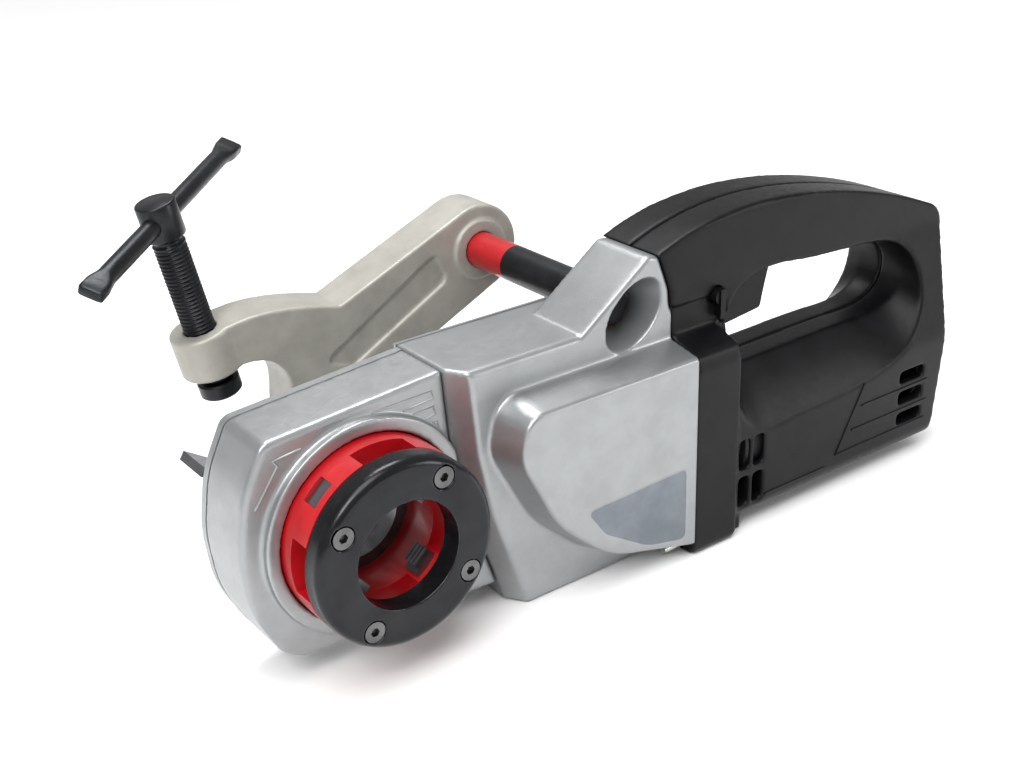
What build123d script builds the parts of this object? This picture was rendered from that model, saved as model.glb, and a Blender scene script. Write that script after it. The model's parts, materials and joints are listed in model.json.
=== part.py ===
from build123d import *
import math
import os

# Portable pipe threading machine with a sliding support arm.
#
# Frame: the origin is on the pipe axis, in the middle of the gear case. +Y runs along the
# pipe from the die head to the support arm, +X runs along the machine to the handle and +Z is up.
# Millimetres. Every sub-part is written to parts/NODE.step.

# ---- pipe and guide ----
PIPE_R = 21.2
GUIDE_BORE_R = 21.5
GUIDE_START_Y = -6.0
JAW_GAP = 0.5

# ---- stations along the pipe axis ----
COVER_FRONT_Y = -50.0
COVER_THICK = 12.0
HEAD_FRONT_Y = COVER_FRONT_Y + COVER_THICK
COLLAR_FRONT_Y = -20.0
CASE_FRONT_Y = -16.0
CASE_BACK_Y = 16.0
COVER_PLATE = 4.0
CASTING_WALL = 4.5
BODY_FRONT_Y = -27.0
BODY_BACK_Y = 22.0
BULGE_FRONT_Y = -47.0
NOSE_SHIFT = 6.8
PARTING_Y = -7.5
ARM_Y = 110.0
ARM_THICK = 26.0

# ---- die head ----
COVER_R = 43.9
COVER_HOLE_R = 25.0
HEAD_R = 43.9
COLLAR_R = 44.6
CHASER_ANGLE = -47.5
COVER_SCREW_PCR = 36.0
COVER_SCREW_ANGLE = -32.6
SPIGOT_R = 31.0

# ---- gear train ----
PRESSURE_ANGLE = math.radians(25.0)
ADDENDUM = 0.8
DEDENDUM = 1.05
BACKLASH = 0.3
FINAL_MODULE = 1.5
RING_TEETH = 60
LAY_PINION_TEETH = 14
FINE_MODULE = 1.25
LAY_GEAR_TEETH = 36
MID_PINION_TEETH = 20
BEVEL_WHEEL_TEETH = 36
BEVEL_PINION_TEETH = 10
BEVEL_FACE = 7.0
WHEEL_BACK_Y = 1.8
RUNNING = 0.04

MOTOR_Y = -10.0
MOTOR_Z = -22.0
LAY_Z = -12.0
FINAL_CENTRES = FINAL_MODULE * (RING_TEETH + LAY_PINION_TEETH) / 2
LAY_X = math.sqrt(FINAL_CENTRES ** 2 - LAY_Z ** 2)
MID_CENTRES = FINE_MODULE * (LAY_GEAR_TEETH + MID_PINION_TEETH) / 2
MID_Z = MOTOR_Z
MID_X = LAY_X + math.sqrt(MID_CENTRES ** 2 - (LAY_Z - MID_Z) ** 2)
BEARING_BOSS_R = 11.0
BEVEL_WHEEL_R = FINE_MODULE * BEVEL_WHEEL_TEETH / 2
BEVEL_PINION_R = FINE_MODULE * BEVEL_PINION_TEETH / 2

# ---- torque rod ----
ROD_X = 144.3
ROD_Z = 63.5
ROD_R = 9.5
ROD_START_Y = -12.0
SLEEVE_Y = 66.0
SLEEVE_END_Y = ARM_Y - 15.0
SLEEVE_BORE_R = 8.9
BUSH_R = 12.0

# ---- clamp: its screw leans from the vertical towards -X ----
CLAMP_TILT = 12.0
SCREW_R = 8.0
PAD_BOTTOM = PIPE_R + JAW_GAP
PAD_HEIGHT = 8.0
BOSS_BOTTOM = 35.0
BOSS_TOP = 58.0
BOSS_R = 15.5
HEAD_BOTTOM = 107.3
HEAD_TOP = 125.3
THREAD_END = 104.0
NECK_R = 6.6
CLAMP_HEAD_R = 9.6
T_BAR_AT = 116.1
T_BAR_R = 4.6
T_BAR_HALF = 75.0
T_BAR_SHIFT = 6.6
T_BAR_TURN = 38.0
T_BAR_ROLL = 30.0
FLARE_LENGTH = 11.0
FLARE_WIDTH = 12.0
FLARE_THICK = 6.2

# ---- motor and handle ----
SPLIT_X = 168.0
FLANGE_END_X = 197.0
MOTOR_END_X = 354.0
SHELL_BOTTOM_Z = -60.0
BODY_BOTTOM_Z = -68.0
NOSE_X = 116.0
STATOR_R = 30.0
ARMATURE_R = 19.0
SHAFT_R = 5.0
HANDLE_FRONT_Y = -28.0
HANDLE_BACK_Y = 13.0
HOUSING_FRONT_Y = -44.0
HOUSING_BACK_Y = 24.0
OPENING_FRONT_Y = -22.0
OPENING_BACK_Y = 7.0
SCOOP_SHARES = (0.0, 0.42, 1.0)
OPENING_POINTS = [(202, 44), (202.5, 30), (207, 20), (220, 16.5), (240, 16.5), (265, 17), (300, 17),
                  (328, 19), (341, 28), (342, 41), (332, 53), (303, 60), (258, 63), (214, 60)]
SCOOP_POINTS = [(195.5, 44), (196, 24), (200, 2), (211, -12), (238, -13.5), (265, -12.5), (300, -9),
                (326, 0), (341, 14), (344.5, 36), (337, 55), (306, 66), (258, 67), (214, 62)]
TRIGGER_X = 210.0
TRIGGER_Z = 70.0
LEVER_X = 197.0
LEVER_Z = 60.0
GLAND_Y = -7.0
GLAND_Z = 32.0
GLAND_R = 9.0
CABLE_BORE_R = 4.5
GLAND_START_X = 352.0
GLAND_COLLAR_X = 364.4
GLAND_END_X = 376.5

# ---- motor housing screws as (y, z), handle screws as (x, z, head y) ----
TOP_SCREWS = [(-33, 30.5), (19, 28)]
BOTTOM_SCREWS = [(-36, -64.2), (16, -64.2)]
HANDLE_SCREWS = [(180, 78, HANDLE_BACK_Y), (280, 78, HANDLE_BACK_Y), (352, 64, HANDLE_BACK_Y),
                 (222, -55.6, HOUSING_BACK_Y), (300, -55.6, HOUSING_BACK_Y), (349.5, -30, HOUSING_BACK_Y)]

# ---- cover screws, as (x, z) ----
CASE_SCREWS = [(-50, 27), (-50, -27), (-27, 49), (22, 54), (-27, -48), (38, -50)]
BODY_SCREWS = [(62, 53), (105, 53), (116, -62), (80, -60), (52, 38), (143, -62)]

os.makedirs("parts", exist_ok=True)


# ---------------------------------------------------------------- helpers
def save(shape, name):
    """Write one sub-part."""
    export_step(shape, f"parts/{name}.step")


def slab(face, y0, y1):
    """A face drawn in X and Z, made solid from y0 to y1."""
    return extrude(Plane.XZ.offset(-y1) * face, amount=y1 - y0)


def rod_y(x, z, radius, y0, y1):
    """A round bar parallel to Y."""
    return slab(Pos(x, z) * Circle(radius), y0, y1)


def rod_x(y, z, radius, x0, x1):
    """A round bar parallel to X."""
    return extrude(Plane.YZ.offset(x0) * Pos(y, z) * Circle(radius), amount=x1 - x0)


def block(x0, x1, y0, y1, z0, z1):
    """A box between two corners."""
    return Pos((x0 + x1) / 2, (y0 + y1) / 2, (z0 + z1) / 2) * Box(x1 - x0, y1 - y0, z1 - z0)


def outline(*corners):
    """A closed outline with a radius at each corner: (a, b, radius)."""
    points = [(a, b) for a, b, _ in corners]
    radii = [radius for _, _, radius in corners]
    return make_face(FilletPolyline(*points, radius=radii, close=True).edges())


def polygon(*corners):
    """A closed outline with sharp corners."""
    return make_face(Polyline(*corners, close=True))


def polar(radius, degrees):
    """A point in the X-Z plane, from +X towards +Z."""
    angle = math.radians(degrees)
    return radius * math.cos(angle), radius * math.sin(angle)


def front_edges(solid, y):
    """The edges that lie in the plane at y."""
    return solid.edges().filter_by(lambda e: abs(e.bounding_box().min.Y - y) < 1e-3
                                   and abs(e.bounding_box().max.Y - y) < 1e-3)


def group(solids):
    """Separate solids that share one node."""
    return Compound(children=[solid for part in solids for solid in part.solids()])


def gear_face(module, teeth, phase, factor=1.0):
    """An involute gear outline; phase is the angle of one tooth's middle, factor scales it."""
    pitch = module * teeth / 2
    base = pitch * math.cos(PRESSURE_ANGLE)
    tip = pitch + ADDENDUM * module
    root = pitch - DEDENDUM * module
    start = max(base, root)
    radii = [start + (tip - start) * step / 3 for step in range(4)]
    if root < base:
        radii.insert(0, root)
    half = (math.pi * module / 2 - BACKLASH) / (2 * pitch)
    involute_at_pitch = math.tan(PRESSURE_ANGLE) - PRESSURE_ANGLE
    side = []
    for radius in radii:
        alpha = math.acos(min(1.0, base / radius))
        side.append((radius * factor, half + involute_at_pitch - (math.tan(alpha) - alpha)))
    points = []
    for tooth in range(teeth):
        middle = phase + 2 * math.pi * tooth / teeth
        points += [(r * math.cos(middle - a), r * math.sin(middle - a)) for r, a in side]
        points += [(r * math.cos(middle + a), r * math.sin(middle + a)) for r, a in reversed(side)]
    return make_face(Polyline(*points, close=True))


def ring_bearing(inner, outer, width):
    """A shielded ball bearing along Z, with its two rings and the recessed shields."""
    body = Cylinder(outer, width) - Cylinder(inner, width)
    gap_in = inner + (outer - inner) * 0.3
    gap_out = inner + (outer - inner) * 0.7
    recess = Cylinder(gap_out, 0.5) - Cylinder(gap_in, 0.5)
    return body - Pos(0, 0, width / 2) * recess - Pos(0, 0, -width / 2) * recess


def along_y(x, y, z):
    """Place a part drawn along Z so that it lies along Y."""
    return Pos(x, y, z) * Rot(-90, 0, 0)


def along_x(x, y, z):
    """Place a part drawn along Z so that it lies along X."""
    return Pos(x, y, z) * Rot(0, 90, 0)


# Tilted frame of the clamp: local Z is the screw axis, its origin is on the pipe axis.
CLAMP = Pos(0, ARM_Y, 0) * Rot(0, -CLAMP_TILT, 0)


# ---------------------------------------------------------------- die head
def die_head_cover():
    """The black ring that closes the head, with a round front edge."""
    ring = rod_y(0, 0, COVER_R, COVER_FRONT_Y, HEAD_FRONT_Y)
    ring = fillet(front_edges(ring, COVER_FRONT_Y), 4.5)
    ring -= rod_y(0, 0, COVER_HOLE_R, COVER_FRONT_Y, HEAD_FRONT_Y)
    for index in range(4):
        x, z = polar(COVER_SCREW_PCR, COVER_SCREW_ANGLE + 90 * index)
        ring -= rod_y(x, z, 3.1, COVER_FRONT_Y, HEAD_FRONT_Y)
        ring -= rod_y(x, z, 5.4, COVER_FRONT_Y, COVER_FRONT_Y + 3.2)
    return ring


def die_head_screws():
    """Four socket screws through the cover ring into the head."""
    screws = []
    for index in range(4):
        x, z = polar(COVER_SCREW_PCR, COVER_SCREW_ANGLE + 90 * index)
        screw = rod_y(x, z, 4.9, COVER_FRONT_Y + 0.4, COVER_FRONT_Y + 3.2)
        screw += rod_y(x, z, 2.9, COVER_FRONT_Y + 3.2, HEAD_FRONT_Y + 9)
        socket = Pos(x, z) * RegularPolygon(2.2, 6)
        screws.append(screw - slab(socket, COVER_FRONT_Y, COVER_FRONT_Y + 2.4))
    return group(screws)


def die_head_body():
    """The red head: a slotted front drum and a spigot that fits the drive gear."""
    body = rod_y(0, 0, HEAD_R, HEAD_FRONT_Y, -17)
    body += rod_y(0, 0, SPIGOT_R, -17, 15.5)
    body -= rod_y(0, 0, 27.0, HEAD_FRONT_Y, GUIDE_START_Y)
    body -= rod_y(0, 0, 28.0, GUIDE_START_Y, 15.5)
    for index in range(4):
        angle = CHASER_ANGLE + 90 * index
        body -= Rot(0, -angle, 0) * block(18, 50, -34.1, -24.9, -6.05, 6.05)
        body -= Rot(0, -(angle + 49), 0) * block(20, 50, HEAD_FRONT_Y, -27, -15, 11)
        x, z = polar(COVER_SCREW_PCR, COVER_SCREW_ANGLE + 90 * index)
        body -= rod_y(x, z, 2.9, HEAD_FRONT_Y, HEAD_FRONT_Y + 9.5)
    return body


def chaser(index):
    """A thread chaser: a steel block with ground teeth that face the pipe."""
    tooth_pitch = 2.31
    blade = block(20.6, 42, -34, -25, -6, 6)
    for tooth in range(4):
        y = -33.2 + tooth * tooth_pitch
        notch = Plane.XY.offset(-6) * polygon((20.5, y - 0.9), (22.0, y), (20.5, y + 0.9))
        blade -= extrude(notch, amount=12)
    blade -= block(20, 24, -35, -24, -6.5, -3)
    return Rot(0, -(CHASER_ANGLE + 90 * index), 0) * blade


def pipe_guide():
    """The bush in the head's spigot that guides the pipe."""
    guide = rod_y(0, 0, 28.0, GUIDE_START_Y, 15.5) + rod_y(0, 0, SPIGOT_R, 15.5, 20)
    guide = fillet(front_edges(guide, 20.0), 1.0)
    return guide - rod_y(0, 0, GUIDE_BORE_R, GUIDE_START_Y, 20)


def drive_gear():
    """The ring gear, with a hub that runs in the rear bush and one that runs in the front bush."""
    angle = math.atan2(LAY_Z, LAY_X)
    gear = slab(gear_face(FINAL_MODULE, RING_TEETH, angle), -9, 1)
    gear += rod_y(0, 0, 39.0, -11.5, -9) + rod_y(0, 0, 36.2, 1, 2.5)
    return gear - rod_y(0, 0, SPIGOT_R, -11.5, 2.5)


def drive_bush(front):
    """Bronze ring round the drive: the front one carries the gear's hub, the rear one the spigot."""
    if front:
        return rod_y(0, 0, 43.0, -11.8, -9.4) - rod_y(0, 0, 39.0 + RUNNING, -11.8, -9.4)
    return rod_y(0, 0, SPIGOT_R + 3, 10.5, 15.0) - rod_y(0, 0, SPIGOT_R + RUNNING, 10.5, 15.0)


# ---------------------------------------------------------------- castings
def case_outline():
    """The gear case's outline: a round left side, a flat top and bottom, a cranked right side."""
    return outline((-46, 53.5, 7), (43, 60.5, 0.6), (46, 20, 0.6), (54, -15, 0.6),
                   (68, -57.5, 0.6), (-36, -54, 10),
                   (-46, -48, 10), (-58.5, -24, 60), (-61.5, 5, 60), (-57, 32, 60))


def lay_gear_room():
    """The space round the lay shaft, open between the two castings."""
    room = rod_y(LAY_X, LAY_Z, 25.0, 2.8, CASE_BACK_Y)
    return room + rod_y(LAY_X, LAY_Z, 13.5, -10.2, 2.8)


def gear_case():
    """The left casting, with the collar round the die head and the lay shaft's front lug."""
    case = slab(case_outline(), CASE_FRONT_Y, CASE_BACK_Y)
    case = fillet(front_edges(case, CASE_FRONT_Y), 2.0)
    case += rod_y(0, 0, 51.0, COLLAR_FRONT_Y, CASE_FRONT_Y + 1) & slab(case_outline(), COLLAR_FRONT_Y, 0)
    case += rod_y(LAY_X, LAY_Z, 10.5, CASE_FRONT_Y, -10.2)
    case -= rod_y(0, 0, COLLAR_R, COLLAR_FRONT_Y, -13)
    case -= rod_y(0, 0, 43.0, -13, -9)
    case -= rod_y(0, 0, 48.0, -9.4, CASE_BACK_Y)
    case -= lay_gear_room()
    case -= rod_y(MID_X, MID_Z, BEVEL_WHEEL_R + 1.5, -6, 3)
    case -= rod_y(LAY_X, LAY_Z, 7.0, CASE_FRONT_Y + 1.2, -10.2)
    for x, z in CASE_SCREWS:
        case -= rod_y(x, z, 2.0, 4, CASE_BACK_Y)
    return case


def plate_screws(places, head_y):
    """Pan-head screws that hold a rear plate; they point to -Y."""
    screws = []
    for x, z in places:
        screw = rod_y(x, z, 3.8, head_y, head_y + 2.2) + rod_y(x, z, 2.0, head_y - 13, head_y)
        socket = slab(Pos(x, z) * RegularPolygon(1.7, 6), head_y + 0.8, head_y + 2.2)
        screws.append(screw - socket)
    return group(screws)


def case_cover():
    """The plate that closes the back of the gear case and holds the rear bush."""
    plate = slab(case_outline(), CASE_BACK_Y, CASE_BACK_Y + COVER_PLATE)
    plate += rod_y(0, 0, SPIGOT_R + 6.5, 10.5, CASE_BACK_Y)
    plate -= rod_y(0, 0, SPIGOT_R + 3, 10.5, 15.0)
    plate -= rod_y(0, 0, SPIGOT_R + 1, 10.5, CASE_BACK_Y + COVER_PLATE)
    plate -= rod_y(LAY_X, LAY_Z, BEARING_BOSS_R + 0.5, 10.0, CASE_BACK_Y + COVER_PLATE)
    for x, z in CASE_SCREWS:
        plate -= rod_y(x, z, 2.0, CASE_BACK_Y, CASE_BACK_Y + COVER_PLATE)
    return plate


def bulge_outline(grow=0.0):
    """The outline of the gear bulge; grow is its offset from the root outline."""
    return outline((185, 45 + grow, 3), (64 - grow, 45 + grow, 14 + grow),
                   (58 - grow, 20, 25), (80 - grow, -22 - grow, 60),
                   (112, -50 - grow, 60), (185, -69 - grow, 3))


def body_outline(shift):
    """The middle casting's outline; shift moves its cranked left side to the right."""
    return polygon((43.2 + shift, 61), (46.2 + shift, 20), (54.2 + shift, -15), (72 + shift, BODY_BOTTOM_Z),
                   (SPLIT_X, BODY_BOTTOM_Z), (SPLIT_X, 61))


def gearbox_room(shift):
    """The room inside the middle casting, one wall in from its cranked left side."""
    wall = CASTING_WALL + shift
    return polygon((45.5 + wall, 44), (46.2 + wall, 20), (54.2 + wall, -15), (70.2 + wall, -63),
                   (SPLIT_X, -63), (SPLIT_X, 44))


def gearbox_body():
    """The middle casting: gear room, bulge, ridge for the torque rod and its flared mouth."""
    body = slab(body_outline(0), CASE_FRONT_Y, BODY_BACK_Y)
    nose = loft([Plane.XZ.offset(-CASE_FRONT_Y) * body_outline(0),
                 Plane.XZ.offset(-BODY_FRONT_Y) * body_outline(NOSE_SHIFT)], ruled=True)
    nose = fillet([e for e in front_edges(nose, BODY_FRONT_Y) if e.center().X < SPLIT_X - 1], 3.0)
    ridge = slab(ridge_outline(), BODY_FRONT_Y, 10)
    ridge = fillet([e for e in front_edges(ridge, BODY_FRONT_Y) if e.center().Z > 62], 2.0)
    bulge = extrude(Plane.XZ.offset(-BODY_FRONT_Y) * bulge_outline(),
                    amount=BODY_FRONT_Y - BULGE_FRONT_Y, taper=11)
    bulge = fillet(front_edges(bulge, BULGE_FRONT_Y), 2.0)
    bulge &= block(0, SPLIT_X, -60, 0, -68, 60)
    body += nose + ridge + bulge
    rooms = slab(gearbox_room(NOSE_SHIFT), -23, CASE_FRONT_Y)
    rooms += slab(gearbox_room(0), CASE_FRONT_Y, BODY_BACK_Y)
    body -= rooms - rod_y(ROD_X, ROD_Z, BUSH_R + 4, -30, 30)
    inside = extrude(Plane.XZ.offset(23) * bulge_outline(-4), amount=20, taper=11)
    body -= inside & block(0, SPLIT_X, -60, 0, -62, 36)
    body -= rod_y(LAY_X, LAY_Z, 25.6, 2.8, BODY_BACK_Y)
    body -= rod_y(LAY_X, LAY_Z, 13.5, CASE_FRONT_Y - 0.2, 2.8)
    body += rod_y(MID_X, MID_Z, 11.0, BODY_FRONT_Y + 0.5, -17)
    body -= rod_y(MID_X, MID_Z, 8.0, -23.5, -17)
    body -= rod_y(ROD_X, ROD_Z, BUSH_R, BODY_FRONT_Y, BODY_BACK_Y)
    mouth = loft([Plane.XZ.offset(27) * Pos(ROD_X, 63) * Rot(0, 0, 42) * Ellipse(20, 13.5),
                  Plane.XZ.offset(9) * Pos(ROD_X, ROD_Z) * Circle(BUSH_R)])
    body -= mouth
    for x, z in BODY_SCREWS:
        body += rod_y(x, z, 5.0, 12, BODY_BACK_Y) & block(40, SPLIT_X, 12, BODY_BACK_Y, BODY_BOTTOM_Z, 61)
        body -= rod_y(x, z, 2.0, 12, BODY_BACK_Y)
    for y, z in BOTTOM_SCREWS:
        body -= rod_x(y, z, 2.0, 155, SPLIT_X)
    body -= slab(plate_recess(), BULGE_FRONT_Y, BULGE_FRONT_Y + 1.0)
    return body


def ridge_outline():
    """The outline of the ridge that carries the torque rod."""
    return outline((100, 50, 1), (112, 60.5, 3), (153, 90, 6), (159.5, 88.5, 3),
                   (166, 71, 12), (SPLIT_X, 50, 0.5))


def plate_recess():
    """The outline of the blank name plate, rounded at its lower left."""
    return outline((99, -17.5, 2), (161, -15.5, 3), (161, -54.5, 3), (136, -49, 30), (110, -33, 16))


def name_plate():
    """A thin blank plate let into the bulge."""
    return slab(plate_recess(), BULGE_FRONT_Y + 0.3, BULGE_FRONT_Y + 1.0)


def gearbox_cover():
    """The plate behind the gear room, with seats for the rear bearings."""
    cover = slab(body_outline(0), BODY_BACK_Y, BODY_BACK_Y + COVER_PLATE)
    cover = chamfer([e for e in front_edges(cover, BODY_BACK_Y + COVER_PLATE)
                     if e.center().X < SPLIT_X - 1], 2.5)
    for x, z in ((LAY_X, LAY_Z), (MID_X, MID_Z)):
        cover += rod_y(x, z, BEARING_BOSS_R, 14.5, BODY_BACK_Y)
        cover -= rod_y(x, z, 8.0, 14.5, 20.5)
    for x, z in BODY_SCREWS:
        cover -= rod_y(x, z, 2.0, BODY_BACK_Y, BODY_BACK_Y + COVER_PLATE)
    cover -= rod_y(ROD_X, ROD_Z, BUSH_R, BODY_BACK_Y, BODY_BACK_Y + COVER_PLATE)
    return cover


def rod_bushes():
    """Two bushes that the torque rod slides in."""
    bush = rod_y(ROD_X, ROD_Z, BUSH_R, 0, 7) - rod_y(ROD_X, ROD_Z, ROD_R + RUNNING, 0, 7)
    return group([Pos(0, -8.5, 0) * bush, Pos(0, 3, 0) * bush])


# ---------------------------------------------------------------- gear train
def lay_shaft():
    """The lay shaft with its final pinion cut in one piece."""
    phase = math.atan2(LAY_Z, LAY_X) + math.pi + math.pi / LAY_PINION_TEETH
    pinion = Pos(LAY_X, LAY_Z) * gear_face(FINAL_MODULE, LAY_PINION_TEETH, phase)
    shaft = slab(pinion, -9.5, 1.5) + rod_y(LAY_X, LAY_Z, 8.0, 1.5, 3.2)
    shaft += rod_y(LAY_X, LAY_Z, 6.0, 3.2, 13.5)
    shaft += rod_y(LAY_X, LAY_Z, 3.5 - RUNNING, -14.2, -9.5)
    shaft += rod_y(LAY_X, LAY_Z, 4.0 - RUNNING, 13.5, 20.2)
    return shaft


def lay_gear():
    """The gear pressed on the lay shaft, with a thin web."""
    phase = math.atan2(MID_Z - LAY_Z, MID_X - LAY_X)
    gear = slab(Pos(LAY_X, LAY_Z) * gear_face(FINE_MODULE, LAY_GEAR_TEETH, phase), 3.6, 9.6)
    web = rod_y(LAY_X, LAY_Z, 18.5, 3.6, 5.0) - rod_y(LAY_X, LAY_Z, 10.0, 3.6, 5.0)
    return gear - web - rod_y(LAY_X, LAY_Z, 6.0, 3.6, 9.6)


def mid_shaft():
    """The intermediate shaft with its pinion cut in one piece."""
    phase = math.atan2(MID_Z - LAY_Z, MID_X - LAY_X) + math.pi + math.pi / MID_PINION_TEETH
    pinion = Pos(MID_X, MID_Z) * gear_face(FINE_MODULE, MID_PINION_TEETH, phase)
    shaft = slab(pinion, 3.0, 10.5) + rod_y(MID_X, MID_Z, 5.0, -17.0, 3.0)
    shaft += rod_y(MID_X, MID_Z, 4.0 - RUNNING, -23.2, -17.0)
    shaft += rod_y(MID_X, MID_Z, 4.0 - RUNNING, 10.5, 20.2)
    return shaft


def bevel_tooth_end(radius):
    """One end of a wheel tooth: a rack-shaped section, scaled with its distance from the apex."""
    factor = radius / BEVEL_WHEEL_R
    half = (math.pi * FINE_MODULE / 2 - BACKLASH) / 2
    slope = math.tan(PRESSURE_ANGLE)
    tip = ADDENDUM * FINE_MODULE
    root = DEDENDUM * FINE_MODULE + 0.3
    wide = (half + slope * root) * factor
    narrow = (half - slope * tip) * factor
    low = (BEVEL_PINION_R + root) * factor
    high = (BEVEL_PINION_R - tip) * factor
    plane = Plane(origin=(radius, 0, 0), x_dir=(0, 0, 1), z_dir=(-1, 0, 0))
    return plane * polygon((-wide, low), (wide, low), (narrow, high), (-narrow, high))


def bevel_wheel():
    """The bevel wheel: radial teeth that all point at the meeting point of the two axes."""
    inner = BEVEL_WHEEL_R - BEVEL_FACE
    root_outer = BEVEL_PINION_R + DEDENDUM * FINE_MODULE
    root_inner = root_outer * inner / BEVEL_WHEEL_R
    back = WHEEL_BACK_Y - MOTOR_Y
    blank = polygon((4.8, back), (BEVEL_WHEEL_R - 2, back), (BEVEL_WHEEL_R, back - 1),
                    (BEVEL_WHEEL_R, root_outer), (inner, root_inner), (inner - 1.5, root_inner),
                    (10, root_inner - 0.5), (4.8, root_inner - 0.5))
    wheel = revolve(blank, Axis.Y)
    tooth = loft([bevel_tooth_end(inner), bevel_tooth_end(BEVEL_WHEEL_R)], ruled=True)
    for index in range(BEVEL_WHEEL_TEETH):
        wheel += Rot(0, index * 360 / BEVEL_WHEEL_TEETH, 0) * tooth
    wheel -= rod_y(0, 0, 5.0, -40, 40)
    return Pos(MID_X, MOTOR_Y, MID_Z) * wheel


def bevel_pinion():
    """The bevel pinion on the end of the armature shaft."""
    scale = (BEVEL_WHEEL_R - BEVEL_FACE) / BEVEL_WHEEL_R
    phase = math.pi / BEVEL_PINION_TEETH
    big = gear_face(FINE_MODULE, BEVEL_PINION_TEETH, phase)
    small = gear_face(FINE_MODULE, BEVEL_PINION_TEETH, phase, scale)
    far = Plane.YZ.offset(MID_X + BEVEL_WHEEL_R) * Pos(MOTOR_Y, MOTOR_Z)
    near = Plane.YZ.offset(MID_X + BEVEL_WHEEL_R - BEVEL_FACE) * Pos(MOTOR_Y, MOTOR_Z)
    pinion = loft([near * small, far * big], ruled=True)
    pinion += rod_x(MOTOR_Y, MOTOR_Z, 4.7, MID_X + BEVEL_WHEEL_R, MID_X + BEVEL_WHEEL_R + 3)
    return pinion - rod_x(MOTOR_Y, MOTOR_Z, 2.5, MID_X + 10, MID_X + 26)


def shaft_bearings():
    """The ball bearings of the lay shaft and the intermediate shaft."""
    small = along_y(LAY_X, -12.4, LAY_Z) * ring_bearing(3.5, 7.0, 4.0)
    rear_lay = along_y(LAY_X, 17.5, LAY_Z) * ring_bearing(4.0, 8.0, 5.0)
    rear_mid = along_y(MID_X, 17.5, MID_Z) * ring_bearing(4.0, 8.0, 5.0)
    front_mid = along_y(MID_X, -20.5, MID_Z) * ring_bearing(4.0, 8.0, 5.0)
    return {"lay_bearing_front": small, "lay_bearing_rear": rear_lay,
            "mid_bearing_rear": rear_mid, "mid_bearing_front": front_mid}


# ---------------------------------------------------------------- motor
def motor_flange():
    """The plate between gearbox and motor, with a nose that carries the armature's front bearing."""
    plate = block(162, 167, -42, 21.5, -55, 33)
    nose = rod_x(MOTOR_Y, MOTOR_Z, 16, NOSE_X, 162)
    hollow = rod_x(MOTOR_Y, MOTOR_Z, 12, NOSE_X + 2, 167) + rod_x(MOTOR_Y, MOTOR_Z, 8, NOSE_X, NOSE_X + 3)
    flange = plate + nose - hollow
    for y, z in TOP_SCREWS:
        flange -= rod_x(y, z, 2.0, 162, 167)
    return flange


def armature_shaft():
    """The motor shaft, stepped down at both ends."""
    step = MID_X + BEVEL_WHEEL_R + 3
    shaft = rod_x(MOTOR_Y, MOTOR_Z, 2.5, MID_X + 16, step)
    shaft += rod_x(MOTOR_Y, MOTOR_Z, SHAFT_R - RUNNING, step, 306)
    return shaft + rod_x(MOTOR_Y, MOTOR_Z, 4.0 - RUNNING, 306, 316)


def armature_core():
    """The slotted stack of the armature."""
    core = rod_x(MOTOR_Y, MOTOR_Z, ARMATURE_R, 212, 268)
    core -= rod_x(MOTOR_Y, MOTOR_Z, SHAFT_R - RUNNING, 212, 268)
    for index in range(12):
        y, z = polar(ARMATURE_R - 2.5, 30 * index)
        core -= rod_x(MOTOR_Y + y, MOTOR_Z + z, 2.2, 212, 268)
        core -= Pos(240, MOTOR_Y, MOTOR_Z) * Rot(30 * index, 0, 0) * Pos(0, ARMATURE_R, 0) * Box(56, 3, 1.6)
    return core


def armature_windings():
    """The two end turns of the armature winding, either side of the stack."""
    coils = []
    for start in (201, 268):
        coil = rod_x(MOTOR_Y, MOTOR_Z, 16, start, start + 11)
        coil = fillet(coil.edges(), 3.0)
        coils.append(coil - rod_x(MOTOR_Y, MOTOR_Z, SHAFT_R - RUNNING, start, start + 11))
    return group(coils)


def commutator():
    """The commutator, with its insulation gaps cut between the bars."""
    drum = rod_x(MOTOR_Y, MOTOR_Z, 12, 283, 301)
    for index in range(24):
        gap = Rot(15 * index, 0, 0) * Pos(0, 12, 0) * Box(18, 1.6, 0.5)
        drum -= Pos(292, MOTOR_Y, MOTOR_Z) * gap
    return drum - rod_x(MOTOR_Y, MOTOR_Z, SHAFT_R - RUNNING, 283, 301)


def cooling_fan():
    """The fan behind the flange: a hub, a disc and nine blades."""
    fan = rod_x(MOTOR_Y, MOTOR_Z, 9, 178, 194) + rod_x(MOTOR_Y, MOTOR_Z, 28, 192, 194)
    for index in range(9):
        blade = Rot(40 * index, 0, 0) * Pos(0, 17.5, 0) * Rot(0, 0, 8) * Box(11, 19, 1.6)
        fan += Pos(187, MOTOR_Y, MOTOR_Z) * blade
    return fan - rod_x(MOTOR_Y, MOTOR_Z, SHAFT_R - RUNNING, 178, 194)


def stator_core():
    """The field stack: a round yoke with two poles."""
    yoke = rod_x(MOTOR_Y, MOTOR_Z, STATOR_R, 208, 272) - rod_x(MOTOR_Y, MOTOR_Z, 26.5, 208, 272)
    pole = rod_x(MOTOR_Y, MOTOR_Z, 27, 208, 272) & block(208, 272, MOTOR_Y - 13, MOTOR_Y + 13, -60, 20)
    return yoke + pole - rod_x(MOTOR_Y, MOTOR_Z, ARMATURE_R + 0.8, 208, 272)


def field_coils():
    """The two field coils beside the poles."""
    ring = rod_x(MOTOR_Y, MOTOR_Z, 26.3, 203, 277) - rod_x(MOTOR_Y, MOTOR_Z, 21, 203, 277)
    gap = block(203, 277, MOTOR_Y - 13.3, MOTOR_Y + 13.3, -60, 20)
    return group([ring - gap])


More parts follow.
